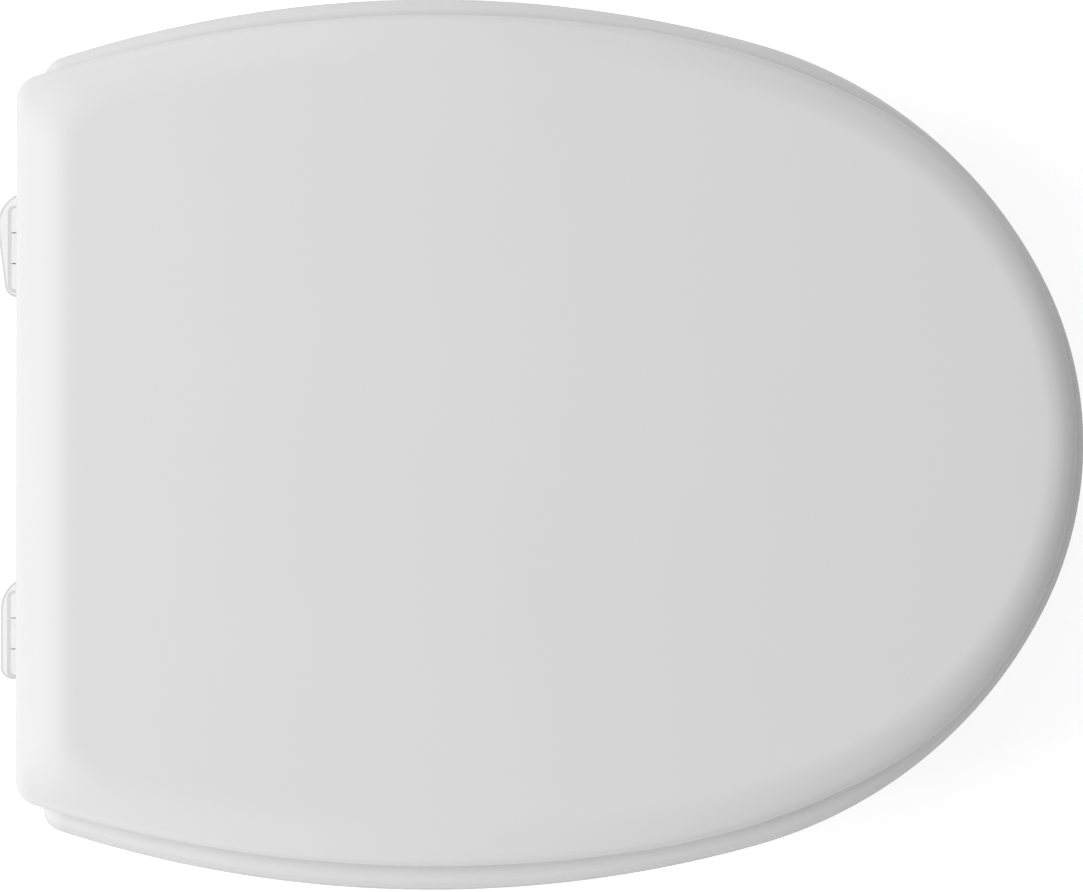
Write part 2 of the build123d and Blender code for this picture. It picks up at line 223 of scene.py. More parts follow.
def joined(pieces: Sequence[bpy.types.Object], name: str) -> bpy.types.Object:
    """Join pieces into one object with a new name.

    Args:
        pieces: objects that become one.
        name: name of the joined piece.

    Returns:
        The first piece, which now holds all the meshes.
    """
    deselect_all()
    for piece in pieces:
        piece.select_set(True)
    bpy.context.view_layer.objects.active = pieces[0]
    bpy.ops.object.join()
    pieces[0].name = name
    return pieces[0]


def merge_points(piece: bpy.types.Object, flat_angle: float = 0.0) -> None:
    """Merge doubled points of a piece, and melt faces that have no area or lie in one plane.

    Args:
        piece: object that is cleaned.
        flat_angle: angle in degrees up to which neighbouring faces count as one plane.
    """
    take(piece)
    bpy.ops.object.mode_set(mode="EDIT")
    bpy.ops.mesh.select_all(action="SELECT")
    bpy.ops.mesh.remove_doubles(threshold=MERGE_GAP)
    bpy.ops.mesh.dissolve_degenerate(threshold=MERGE_GAP)
    if flat_angle:
        bpy.ops.mesh.dissolve_limited(angle_limit=radians(flat_angle))
    bpy.ops.object.mode_set(mode="OBJECT")


def eased_copy(node: str, name: str, width: float) -> bpy.types.Object:
    """Copy of a solid's mesh with its sharp edges eased.

    Args:
        node: solid that is copied.
        name: name of the new piece.
        width: width of the eased edges, in metres.

    Returns:
        The merged and bevelled copy.
    """
    piece = bpy.data.objects.new(name, frame["nodes"][node].data.copy())
    bpy.context.scene.collection.objects.link(piece)
    take(piece)
    bpy.ops.mesh.customdata_custom_splitnormals_clear()
    merge_points(piece, FLAT_ANGLE)
    apply_modifier(
        piece,
        "BEVEL",
        width=width,
        segments=BEVEL_SEGMENTS,
        limit_method="ANGLE",
        angle_limit=radians(BEVEL_ANGLE),
        use_clamp_overlap=True,
    )
    merge_points(piece)
    smooth(piece, CRISP_ANGLE)
    return piece


@dataclass(frozen=True)
class Arc:
    """Arc of an outline: radius in millimetres, turn in degrees and number of steps."""

    radius: float
    angle: float
    steps: int


@dataclass(frozen=True)
class Outline:
    """Seat-shaped outline: arcs from the front tip, a long side arc, a rounded corner, a straight rear.

    Sizes are in millimetres, and each stretch has its own number of steps.
    """

    reach: float
    front: tuple[Arc, ...]
    side_r: float
    side_steps: int
    corner_r: float
    corner_steps: int
    rear: float
    rear_steps: int

    def right_half(self) -> np.ndarray:
        """Follow the outline from the front tip round the +X side to the middle of the rear edge.

        Returns:
            Flat points, in millimetres.
        """
        x, y, heading = 0.0, -self.reach, 0.0
        rows = [(x, y)]
        for arc in self.front:
            turn = radians(arc.angle)
            centre = (x - arc.radius * sin(heading), y + arc.radius * cos(heading))
            for step in np.linspace(0.0, turn, arc.steps + 1)[1:]:
                rows.append(self.on_circle(centre, arc.radius, heading + step))
            x, y = rows[-1]
            heading += turn
        centre = (x - self.side_r * sin(heading), y + self.side_r * cos(heading))
        corner_y = self.rear - self.corner_r
        span = self.side_r - self.corner_r
        corner = (centre[0] + sqrt(span**2 - (corner_y - centre[1]) ** 2), corner_y)
        meet = atan2(corner[0] - centre[0], centre[1] - corner[1])
        for angle in np.linspace(heading, meet, self.side_steps + 1)[1:]:
            rows.append(self.on_circle(centre, self.side_r, angle))
        for angle in np.linspace(meet, pi, self.corner_steps + 1)[1:]:
            rows.append(self.on_circle(corner, self.corner_r, angle))
        for across in np.linspace(corner[0], 0.0, self.rear_steps + 1)[1:]:
            rows.append((across, self.rear))
        return np.array(rows)

    @staticmethod
    def on_circle(centre: tuple[float, float], radius: float, heading: float) -> tuple[float, float]:
        """Point of a circle where its left-turning tangent has a heading."""
        return (centre[0] + radius * sin(heading), centre[1] - radius * cos(heading))

    def points(self) -> np.ndarray:
        """Follow the whole closed outline, turning left from the front tip.

        Returns:
            Flat points, in millimetres.
        """
        right = self.right_half()
        left = right[-2:0:-1] * np.array([-1.0, 1.0])
        return np.vstack([right, left])

    def without_rear(self) -> np.ndarray:
        """Follow the outline with its sides run straight on, far behind the rear edge.

        Returns:
            Flat points, in millimetres.
        """
        right = self.right_half()[: -self.rear_steps - self.corner_steps]
        right = np.vstack([right, right[-1] + np.array([0.0, self.reach])])
        left = right[:0:-1] * np.array([-1.0, 1.0])
        return np.vstack([right, left])


def edge_distance(points: np.ndarray, outline: np.ndarray) -> np.ndarray:
    """Shortest distance of each point to a closed outline.

    Args:
        points: flat points, in millimetres.
        outline: corners of the closed outline, in millimetres.

    Returns:
        One distance for each point, in millimetres.
    """
    start = outline
    along = np.roll(outline, -1, axis=0) - start
    offset = points[:, None, :] - start[None, :, :]
    share = np.clip((offset * along).sum(2) / (along**2).sum(1), 0.0, 1.0)
    gap = offset - share[:, :, None] * along
    return np.sqrt((gap**2).sum(2)).min(1)


def roll_drop(distance: np.ndarray, width: np.ndarray | float, height: np.ndarray | float) -> np.ndarray:
    """Fall of an elliptic edge roll below the surface that it ends.

    Args:
        distance: distance from the edge, in millimetres.
        width: reach of the roll in from the edge.
        height: full fall of the roll at the edge.

    Returns:
        Fall at each distance, in millimetres.
    """
    share = 1.0 - np.clip(distance / width, 0.0, 1.0)
    return height * (1.0 - np.sqrt(1.0 - share**2))


def graded(front: float, rear: float, back: np.ndarray) -> np.ndarray:
    """Size that changes evenly from the front of the seat to its rear."""
    return front + (rear - front) * back


def bulge(back: np.ndarray) -> np.ndarray:
    """Share that is nought at the front and the rear of the seat and one between them."""
    return 4.0 * back * (1.0 - back)


def soft_ramp(share: np.ndarray, knee: float) -> np.ndarray:
    """Rise from nought to one that starts softly and runs straight on past the knee."""
    curve = share**2 / (2.0 * knee)
    return np.where(share < knee, curve, share - knee / 2) / (1.0 - knee / 2)


def soft_minimum(one: np.ndarray, two: np.ndarray, blend: float) -> np.ndarray:
    """Smaller of two values, rounded over where they differ by less than the blend."""
    near = np.clip(1.0 - np.abs(one - two) / blend, 0.0, None)
    return np.minimum(one, two) - near**2 * blend / 4


class NodeSheet:
    """Lays nodes in one shader tree and joins them."""

    def __init__(self, tree: bpy.types.NodeTree) -> None:
        """Start on an emptied tree."""
        tree.nodes.clear()
        self.tree = tree

    def add(self, kind: str, **values: object) -> bpy.types.Node:
        """Add a node.

        Args:
            kind: Blender's name of the node type.
            values: attributes by name, and inputs by their labels with underscores for spaces.

        Returns:
            The new node.
        """
        node = self.tree.nodes.new(kind)
        for key, value in values.items():
            if hasattr(node, key):
                setattr(node, key, value)
            else:
                node.inputs[key.replace("_", " ")].default_value = value
        return node

    def join(self, source: bpy.types.NodeSocket, target: bpy.types.NodeSocket) -> None:
        """Link an output to an input."""
        self.tree.links.new(source, target)


class SharedGroups:
    """Shader node groups that several finishes use."""

    def __init__(self) -> None:
        """Build every group once."""
        self.mottle = self.build_mottle()
        self.relief = {grain: self.build_relief(grain) for grain in Grain}

    @staticmethod
    def new_group(name: str, inputs: Sockets, outputs: Sockets) -> NodeSheet:
        """Start a group with named sockets.

        Args:
            name: name of the group.
            inputs: labels and socket types of its inputs.
            outputs: labels and socket types of its outputs.

        Returns:
            The sheet of the new group.
        """
        tree = bpy.data.node_groups.new(name, "ShaderNodeTree")
        for label, kind in inputs:
            tree.interface.new_socket(name=label, in_out="INPUT", socket_type=kind)
        for label, kind in outputs:
            tree.interface.new_socket(name=label, in_out="OUTPUT", socket_type=kind)
        return NodeSheet(tree)

    def build_mottle(self) -> bpy.types.NodeTree:
        """Build a soft cloudy change between two colours, and between two roughnesses.

        Returns:
            The group, with outputs Colour and Roughness.
        """
        sheet = self.new_group(
            "soft_mottle",
            [
                ("Colour", "NodeSocketColor"),
                ("Tint", "NodeSocketColor"),
                ("Scale", "NodeSocketFloat"),
                ("Roughness", "NodeSocketFloat"),
                ("Spread", "NodeSocketFloat"),
            ],
            [("Colour", "NodeSocketColor"), ("Roughness", "NodeSocketFloat")],
        )
        entry = sheet.add("NodeGroupInput")
        leave = sheet.add("NodeGroupOutput")
        place = sheet.add("ShaderNodeTexCoord")
        cloud = sheet.add("ShaderNodeTexNoise", Detail=4.0, Roughness=0.55)
        mix = sheet.add("ShaderNodeMix", data_type="RGBA")
        range_to = sheet.add("ShaderNodeMath", operation="ADD")
        range_from = sheet.add("ShaderNodeMath", operation="SUBTRACT")
        range_map = sheet.add("ShaderNodeMapRange")
        sheet.join(place.outputs["Object"], cloud.inputs["Vector"])
        sheet.join(entry.outputs["Scale"], cloud.inputs["Scale"])
        sheet.join(cloud.outputs["Fac"], mix.inputs["Factor"])
        sheet.join(entry.outputs["Colour"], mix.inputs[MIX_A])
        sheet.join(entry.outputs["Tint"], mix.inputs[MIX_B])
        for node in (range_to, range_from):
            sheet.join(entry.outputs["Roughness"], node.inputs[0])
            sheet.join(entry.outputs["Spread"], node.inputs[1])
        sheet.join(cloud.outputs["Fac"], range_map.inputs["Value"])
        sheet.join(range_from.outputs[0], range_map.inputs["To Min"])
        sheet.join(range_to.outputs[0], range_map.inputs["To Max"])
        sheet.join(mix.outputs[MIX_RESULT], leave.inputs["Colour"])
        sheet.join(range_map.outputs["Result"], leave.inputs["Roughness"])
        return sheet.tree

    def build_relief(self, grain: Grain) -> bpy.types.NodeTree:
        """Build the height field of one kind of grain.

        Args:
            grain: kind of fine relief.

        Returns:
            The group, with the output Height.
        """
        sheet = self.new_group(
            f"{grain.value}_relief",
            [("Scale", "NodeSocketFloat")],
            [("Height", "NodeSocketFloat")],
        )
        entry = sheet.add("NodeGroupInput")
        leave = sheet.add("NodeGroupOutput")
        place = sheet.add("ShaderNodeTexCoord")
        if grain is Grain.SPANGLE:
            field = sheet.add("ShaderNodeTexVoronoi", feature="F1")
            output = field.outputs["Distance"]
        elif grain is Grain.PEEL:
            field = sheet.add("ShaderNodeTexNoise", Detail=1.5, Roughness=0.4)
            output = field.outputs["Fac"]
        else:
            field = sheet.add("ShaderNodeTexNoise", Detail=5.0, Roughness=0.65)
            output = field.outputs["Fac"]
        if grain is Grain.POLISH:
            turn = sheet.add("ShaderNodeMapping")
            turn.inputs["Scale"].default_value = POLISH_STRETCH
            sheet.join(place.outputs["Object"], turn.inputs["Vector"])
            sheet.join(turn.outputs["Vector"], field.inputs["Vector"])
        else:
            sheet.join(place.outputs["Object"], field.inputs["Vector"])
        sheet.join(entry.outputs["Scale"], field.inputs["Scale"])
        sheet.join(output, leave.inputs["Height"])
        return sheet.tree


@dataclass(frozen=True)
class Finish:
    """Surface finish of one material slot."""

    slot: str
    colour: Colour
    tint: Colour
    mottle_scale: float
    roughness: float
    roughness_spread: float
    grain: Grain
    grain_scale: float
    grain_depth: float
    metallic: float = 0.0
    coat: float = 0.0
    coat_roughness: float = 0.05
    ior: float = 1.5

    def material(self, groups: SharedGroups) -> bpy.types.Material:
        """Build the finish as a node material.

        Args:
            groups: shared shader node groups.

        Returns:
            The new material, named after the slot.
        """
        material = bpy.data.materials.new(self.slot)
        material.use_nodes = True
        sheet = NodeSheet(material.node_tree)
        output = sheet.add("ShaderNodeOutputMaterial")
        shader = sheet.add("ShaderNodeBsdfPrincipled")
        shader.inputs["Metallic"].default_value = self.metallic
        shader.inputs["IOR"].default_value = self.ior
        shader.inputs["Coat Weight"].default_value = self.coat
        shader.inputs["Coat Roughness"].default_value = self.coat_roughness
        mottle = sheet.add("ShaderNodeGroup", node_tree=groups.mottle)
        mottle.inputs["Colour"].default_value = (*self.colour, 1.0)
        mottle.inputs["Tint"].default_value = (*self.tint, 1.0)
        mottle.inputs["Scale"].default_value = self.mottle_scale
        mottle.inputs["Roughness"].default_value = self.roughness
        mottle.inputs["Spread"].default_value = self.roughness_spread
        relief = sheet.add("ShaderNodeGroup", node_tree=groups.relief[self.grain])
        relief.inputs["Scale"].default_value = self.grain_scale
        bump = sheet.add("ShaderNodeBump", Strength=1.0, Distance=self.grain_depth)
        sheet.join(mottle.outputs["Colour"], shader.inputs["Base Color"])
        sheet.join(mottle.outputs["Roughness"], shader.inputs["Roughness"])
        sheet.join(relief.outputs["Height"], bump.inputs["Height"])
        sheet.join(bump.outputs["Normal"], shader.inputs["Normal"])
        sheet.join(shader.outputs["BSDF"], output.inputs["Surface"])
        return material


FINISHES = (
    Finish(
        slot="coat",
        colour=(0.8, 0.8, 0.8),
        tint=(0.82, 0.82, 0.82),
        mottle_scale=9.0,
        roughness=0.24,
        roughness_spread=0.03,
        grain=Grain.PEEL,
        grain_scale=420.0,
        grain_depth=0.000012,
        coat=0.35,
    ),
    Finish(
        slot="chrome",
        colour=(0.94, 0.94, 0.945),
        tint=(0.83, 0.83, 0.84),
        mottle_scale=60.0,
        roughness=0.09,
        roughness_spread=0.04,
        grain=Grain.POLISH,
        grain_scale=900.0,
        grain_depth=0.000004,
        metallic=1.0,
    ),
    Finish(
        slot="plated_steel",
        colour=(0.62, 0.63, 0.64),
        tint=(0.5, 0.51, 0.53),
        mottle_scale=180.0,
        roughness=0.30,
        roughness_spread=0.08,
        grain=Grain.SPANGLE,
        grain_scale=700.0,
        grain_depth=0.00001,
        metallic=1.0,
    ),
    Finish(
        slot="screw_steel",
        colour=(0.58, 0.58, 0.58),
        tint=(0.46, 0.46, 0.47),
        mottle_scale=240.0,
        roughness=0.34,
        roughness_spread=0.08,
        grain=Grain.SPANGLE,
        grain_scale=900.0,
        grain_depth=0.00001,
        metallic=1.0,
    ),
    Finish(
        slot="gasket_rubber",
        colour=(0.03, 0.03, 0.032),
        tint=(0.045, 0.045, 0.046),
        mottle_scale=120.0,
        roughness=0.72,
        roughness_spread=0.08,
        grain=Grain.MOULDED,
        grain_scale=1400.0,
        grain_depth=0.00004,
    ),
    Finish(
        slot="buffer_plastic",
        colour=(0.66, 0.66, 0.63),
        tint=(0.6, 0.6, 0.57),
        mottle_scale=70.0,
        roughness=0.48,
        roughness_spread=0.06,
        grain=Grain.MOULDED,
        grain_scale=1500.0,
        grain_depth=0.00002,
    ),
    Finish(
        slot="nut_plastic",
        colour=(0.6, 0.6, 0.55),
        tint=(0.54, 0.54, 0.49),
        mottle_scale=90.0,
        roughness=0.42,
        roughness_spread=0.06,
        grain=Grain.MOULDED,
        grain_scale=1100.0,
        grain_depth=0.00002,
    ),
)


class Dresser:
    """Hands out the finishes, and names what each new piece rides on and stands for."""

    def __init__(self) -> None:
        """Build all materials and dress every solid of the frame."""
        groups = SharedGroups()
        self.materials = {finish.slot: finish.material(groups) for finish in FINISHES}
        for row in frame["record"]["subparts"]:
            self.paint(frame["nodes"][row["node"]], row["material_slot"])

    def paint(self, piece: bpy.types.Object, slot: str) -> None:
        """Give a piece one finish all over."""
        piece.data.materials.clear()
        piece.data.materials.append(self.materials[slot])

    def settle(self, piece: bpy.types.Object, body: str, slot: str, *nodes: str) -> None:
        """Finish a new piece: paint it, ride it on its body and let it stand for solids.

        Args:
            piece: the new piece, in place.
            body: body that it moves with.
            slot: material slot of its finish.
            nodes: solids that it stands for.
        """
        self.paint(piece, slot)
        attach(piece, body)
        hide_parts(*nodes)
        LOG.info("%s: %d faces on %s", piece.name, len(piece.data.polygons), body)


@dataclass
class Lid:
    """Crowned lid with a wide soft roll all round and a tighter lip at its edge, in millimetres.

    Roll and lip are graded from the front of the seat to its rear, and the roll is deeper along
    the sides by the side bulge.
    """

    outline: Outline = Outline(
        reach=416.95,
        front=(Arc(152.0, 62.0, 44), Arc(290.0, 19.0, 26)),
        side_r=541.0,
        side_steps=56,
        corner_r=10.5,
        corner_steps=16,
        rear=7.9,
        rear_steps=34,
    )
    under: float = 32.1
    thickness: float = 15.95
    crown_r: float = 6000.0
    rim: float = 2.0
    front_lip_width: float = 6.6
    front_lip_height: float = 4.5
    rear_lip_width: float = 3.6
    rear_lip_height: float = 2.0
    rear_width: float = 23.5
    side_width: float = 22.0
    front_width: float = 10.0
    rear_height: float = 7.3
    side_bulge: float = 2.0
    front_height: float = 2.3
    roll_knee: float = 0.6
    mitre_blend: float = 0.7
    under_round: float = 1.8
    under_points: int = 6
    roll_steps: int = 30
    crown_steps: int = 16
    pole_share: float = 0.985

    def top_of(self, points: np.ndarray, edge: np.ndarray) -> np.ndarray:
        """Find the height of the crowned and rolled top over flat points.

        Args:
            points: flat points, in millimetres.
            edge: the lid's closed outline, in millimetres.

        Returns:
            One height for each point, in millimetres.
        """
        middle = (self.outline.rear - self.outline.reach) / 2
        radius_2 = points[:, 0] ** 2 + (points[:, 1] - middle) ** 2
        crown = self.under + self.thickness - self.crown_r + np.sqrt(self.crown_r**2 - radius_2)
        length = self.outline.rear + self.outline.reach
        back = np.sqrt(np.clip(points[:, 1] + self.outline.reach, 0.0, length) / length)
        lip_width = graded(self.front_lip_width, self.rear_lip_width, back)
        lip_height = graded(self.front_lip_height, self.rear_lip_height, back)
        lip = roll_drop(edge_distance(points, edge), lip_width, lip_height)
        width = graded(self.front_width, self.side_width, back)
        height = graded(self.front_height, self.rear_height, back)
        height = height + self.side_bulge * bulge(back)
        sides = edge_distance(points, self.outline.without_rear()) / width
        rear = (self.outline.rear - points[:, 1]) / self.rear_width
        share = 1.0 - np.clip(soft_minimum(sides, rear, self.mitre_blend), 0.0, 1.0)
        top = crown - lip - height * soft_ramp(share, self.roll_knee)
        return np.maximum(top, self.under + self.rim)

    def loops(self) -> list[np.ndarray]:
        """Lay loops from the flat underside, up the edge and over the roll to near the middle of the crown.

        Returns:
            Loops in metres, each with as many points as the outline.
        """
        edge = self.outline.points()
        centre = np.array([0.0, (self.outline.rear - self.outline.reach) / 2])
        inward = centre - edge
        unit = inward / np.linalg.norm(inward, axis=1)[:, None]
        rows = []
        for angle in np.linspace(0.0, pi / 2, self.under_points):
            flat = edge + unit * self.under_round * (1.0 - sin(angle))
            rows.append(level(flat, self.under + self.under_round * (1.0 - cos(angle))))
        reach = self.rear_width / np.linalg.norm(inward, axis=1).min()
        shares = [reach * (1.0 - cos(angle)) for angle in np.linspace(0.0, pi / 2, self.roll_steps + 1)]
        shares += list(np.linspace(reach, self.pole_share, self.crown_steps + 1)[1:])
        for share in shares:
            flat = edge + inward * share
            rows.append(np.column_stack([flat, self.top_of(flat, edge)]) * MM)
        return rows

    def build(self, dresser: Dresser) -> None:
        """Loft the lid and let it stand for its solid."""
        piece = loft("lid_shell", self.loops(), LoftEnd.FACE, LoftEnd.POLE)
        dresser.settle(piece, "lid", "coat", "lid")


@dataclass
class Ring:
    """Seat ring with a rolled edge and a softer roll into its egg-shaped opening, in millimetres."""

    outline: Outline = Outline(
        reach=419.9,
        front=(Arc(146.0, 26.0, 26), Arc(184.9, 48.3, 44)),
        side_r=482.0,
        side_steps=56,
        corner_r=9.5,
        corner_steps=16,
        rear=-3.0,
        rear_steps=34,
    )
    under: float = 9.0
    thickness: float = 19.0
    outer_width: float = 12.0
    outer_height: float = 9.0
    inner_width: float = 16.0
    inner_height: float = 12.5
    under_round: float = 2.5
    hole_half_width: float = 110.0
    hole_widest: float = -185.0
    hole_front: float = 172.0
    hole_rear: float = 115.0
    under_points: int = 6
    band_steps: int = 44

    def opening(self, edge: np.ndarray) -> np.ndarray:
        """Find the opening's edge, with each point on the line from its middle to a point of the outer edge.

        Args:
            edge: the ring's closed outline, in millimetres.

        Returns:
            Flat points, in millimetres.
        """
        rows = []
        for x, y in edge:
            along = y - self.hole_widest
            far = hypot(x, along)
            length = self.hole_rear if along > 0 else self.hole_front
            radius = 1.0 / hypot(x / far / self.hole_half_width, along / far / length)
            rows.append((x / far * radius, self.hole_widest + along / far * radius))
        return np.array(rows)

    def loops(self) -> list[np.ndarray]:
        """Lay loops from the underside, up the outer edge, over the top and down the opening's edge.

        Returns:
            Loops in metres, each with as many points as the outline.
        """
        outer = self.outline.points()
        inner = self.opening(outer)
        across = inner - outer
        unit = across / np.linalg.norm(across, axis=1)[:, None]
        quarter = np.linspace(0.0, pi / 2, self.under_points)
        rows = []
        for angle in quarter:
            flat = outer + unit * self.under_round * (1.0 - sin(angle))
            rows.append(level(flat, self.under + self.under_round * (1.0 - cos(angle))))
        for share in (1.0 - np.cos(np.linspace(0.0, pi, self.band_steps + 1))) / 2:
            flat = outer + across * share
            top = self.under + self.thickness
            top = top - roll_drop(edge_distance(flat, outer), self.outer_width, self.outer_height)
            top = top - roll_drop(edge_distance(flat, inner), self.inner_width, self.inner_height)
            rows.append(np.column_stack([flat, top]) * MM)
        for angle in quarter[::-1]:
            flat = inner - unit * self.under_round * (1.0 - sin(angle))
            rows.append(level(flat, self.under + self.under_round * (1.0 - cos(angle))))
        return rows

    def build(self, dresser: Dresser) -> None:
        """Loft the ring and let it stand for its solid."""
        piece = loft("seat_ring_shell", self.loops(), LoftEnd.RING, LoftEnd.RING)
        dresser.settle(piece, "seat", "coat", "seat_ring")


@dataclass(frozen=True)
class Thread:
    """Rolled screw thread: sizes in millimetres, and how finely it is modelled."""

    radius: float
    depth: float
    pitch: float
    around: int = 24
    per_pitch: int = 7
    tip: float = 0.25

    def circle(self, radius: np.ndarray | float, height: float) -> np.ndarray:
        """Lay a loop round the axis.

        Args:
            radius: one radius, or one for each point, in millimetres.
            height: its height, in millimetres.

        Returns:
            Points in metres.
        """
        turn = np.linspace(0.0, 2 * pi, self.around, endpoint=False)
        flat = np.column_stack([radius * np.cos(turn), radius * np.sin(turn)])
        return level(flat, height)

    def loops(self, low: float, high: float, point: float = 0.0) -> list[np.ndarray]:
        """Loops of the thread, run out at both ends.

        Args:
            low: height of its lower end.
            high: height of its upper end.
            point: length over which the upper end narrows to a point.

        Returns:
            Loops from low to high.
        """
        turn = np.linspace(0.0, 1.0, self.around, endpoint=False)
        rows = []
        for height in np.linspace(low, high, round((high - low) / self.pitch * self.per_pitch)):
            run_out = min(1.0, (height - low) / self.pitch, (high - height) / self.pitch)
            wave = np.cos(2 * pi * (height / self.pitch - turn))
            radius = self.radius - self.depth / 2 * (1.0 - wave) * run_out
            if point:
                radius = radius * min(1.0, self.tip + (1.0 - self.tip) * (high - height) / point)
            rows.append(self.circle(radius, height))
        return rows


@dataclass
class Studs:
    """Studs with rolled threads above and below a plain shank, in millimetres."""

    places: tuple[tuple[str, float], ...] = (("right", 77.5), ("left", -77.5))
    thread: Thread = Thread(radius=2.75, depth=0.36, pitch=1.0)
    shank_r: float = 3.0
    top: float = 9.0
    shank_top: float = 0.0
    shank_end: float = -15.0
    bottom: float = -58.0
    chamfer: float = 0.8
    shoulder: float = 0.3
    crisp_angle: float = 50.0

    def build(self, dresser: Dresser) -> None:
        """Model one stud and copy it to both places.

        Args:
            dresser: finishes the new pieces.
        """
        thread = self.thread
        rows = [thread.circle(thread.radius - self.chamfer, self.bottom)]
        rows += thread.loops(self.bottom + self.chamfer, self.shank_end - self.shoulder)
        rows += [thread.circle(self.shank_r, self.shank_end), thread.circle(self.shank_r, self.shank_top)]
        rows += thread.loops(self.shank_top + self.shoulder, self.top)
        pattern = loft("stud_pattern", rows, LoftEnd.FACE, LoftEnd.FACE)
        smooth(pattern, self.crisp_angle)
        for side, x in self.places:
            twin = copy_of(pattern, f"{side}_threaded_stud", Matrix.Translation((x * MM, 0.0, 0.0)))
            dresser.settle(twin, "base", "plated_steel", f"{side}_stud")
        bpy.data.objects.remove(pattern)


@dataclass
class Screws:
    """Countersunk wood screws with a cross recess, driven upwards, in millimetres and degrees."""

    groups: tuple[tuple[str, str, float], ...] = (
        ("right_lid_screws", "lid", 11.0),
        ("left_lid_screws", "lid", 11.0),
        ("right_seat_screws", "seat", 15.0),
        ("left_seat_screws", "seat", 15.0),
        ("ring_buffer_screws", "seat", 14.0),
    )
    thread: Thread = Thread(radius=1.9, depth=0.8, pitch=1.5, per_pitch=9)
    head_r: float = 3.6
    head_height: float = 1.8
    head_edge: float = 0.2
    point: float = 2.5
    recess_reach: float = 2.1
    recess_width: float = 0.9
    recess_depth: float = 1.5
    recess_taper: float = 0.5
    turn_step: float = 37.0
    head_span: float = 2.2
    crisp_angle: float = 40.0

    def build(self, dresser: Dresser) -> None:
        """Model a screw of each length, and copy it to every place of its group.

        Args:
            dresser: finishes the new pieces.
        """
        patterns = {length: self.pattern(length) for length in sorted({group[2] for group in self.groups})}
        for node, body, length in self.groups:
            twins = []
            for number, place in enumerate(self.places(node)):
                move = Matrix.Translation(place) @ Matrix.Rotation(radians(number * self.turn_step), 4, "Z")
                twins.append(copy_of(patterns[length], f"{node}_{number}", move))
            dresser.settle(joined(twins, f"{node}_driven"), body, "screw_steel", node)
        for pattern in patterns.values():
            bpy.data.objects.remove(pattern)

    def pattern(self, length: float) -> bpy.types.Object:
        """Model one screw that stands on its head at the origin.

        Args:
            length: length with the head, in millimetres.

        Returns:
            The screw, with its recess cut.
        """
        thread = self.thread
        slope = (self.head_r - thread.radius) / self.head_height
        rows = [thread.circle(self.head_r - self.head_edge, 0.0)]
        rows.append(thread.circle(self.head_r - slope * self.head_edge, self.head_edge))
        rows.append(thread.circle(thread.radius, self.head_height))
        rows += thread.loops(self.head_height + self.head_edge, length, self.point)
        screw = loft(f"screw_{length:.0f}", rows, LoftEnd.FACE, LoftEnd.POLE)
        tool = self.cross_tool()
        apply_modifier(screw, "BOOLEAN", operation="DIFFERENCE", solver="EXACT", use_self=True, object=tool)
        bpy.data.objects.remove(tool)
        smooth(screw, self.crisp_angle)
        return screw

    def cross_tool(self) -> bpy.types.Object:
        """Model the tapered cross that sinks the recess.

        Returns:
            Two crossing blades in one object.
        """
        deselect_all()
        bpy.ops.mesh.primitive_cube_add(size=2 * MM)
        blade = bpy.context.active_object
        bpy.ops.transform.resize(value=(self.recess_reach, self.recess_width / 2, self.recess_depth))
        bpy.ops.object.transform_apply(scale=True)
        bpy.ops.object.mode_set(mode="EDIT")
        mesh = bmesh.from_edit_mesh(blade.data)
        for face in mesh.faces:
            face.select_set(face.normal.z > FACES_UP)
        mesh.select_flush_mode()
        bmesh.update_edit_mesh(blade.data)
        bpy.ops.transform.resize(value=(self.recess_taper, self.recess_taper, 1.0))
        bpy.ops.object.mode_set(mode="OBJECT")
        crossing = copy_of(blade, "cross_blade", Matrix.Rotation(pi / 2, 4, "Z"))
        return joined([blade, crossing], "cross_tool")

    def places(self, node: str) -> list[Vector]:
        """Find the middles of the head faces of a group of screws.

        Args:
            node: solid that holds the group.

        Returns:
            One point for each screw, in metres.
        """
        corners = [vertex.co for vertex in frame["nodes"][node].data.vertices]
        floor = min(corner.z for corner in corners)
        reach = self.head_span * self.head_r * MM
        heads: list[list[Vector]] = []
        for corner in corners:
            if corner.z - floor > self.head_edge * MM:
                continue
            near = [head for head in heads if (head[0] - corner).length < reach]
            if near:
                near[0].append(corner)
            else:
                heads.append([corner])
        return [self.middle(head) for head in heads]

    @staticmethod
    def middle(corners: Sequence[Vector]) -> Vector:
        """Find the middle of the box round some points.

        Args:
            corners: the points.

        Returns:
            The middle, in the points' own unit.
        """
        low = Vector([min(corner[axis] for corner in corners) for axis in range(3)])
        high = Vector([max(corner[axis] for corner in corners) for axis in range(3)])
        return (low + high) / 2


@dataclass
class HingeMetal:
    """Hinge and fixing pieces with eased edges: widths of the easing, in millimetres."""

    post_edge: float = 0.5
    leaf_edge: float = 0.35
    nut_edge: float = 0.6
    rubber_edge: float = 0.3
    washer_edge: float = 0.2

    def build(self, dresser: Dresser) -> None:
        """Ease the edges of posts, leaves, nuts, gaskets, cones and washers.

        Args:
            dresser: finishes the new pieces.
        """
        for side in ("right", "left"):
            rows = (
                ("post", "base", "chrome", self.post_edge),
                ("lid_leaf", "lid", "chrome", self.leaf_edge),
                ("seat_leaf", "seat", "chrome", self.leaf_edge),
                ("wing_nut", "base", "nut_plastic", self.nut_edge),
                ("gasket", "base", "gasket_rubber", self.rubber_edge),
                ("centring_cone", "base", "gasket_rubber", self.rubber_edge),
                ("flat_washer", "base", "plated_steel", self.washer_edge),
            )
            for name, body, slot, width in rows:
                node = f"{side}_{name}"
                dresser.settle(eased_copy(node, f"{node}_eased", width * MM), body, slot, node)


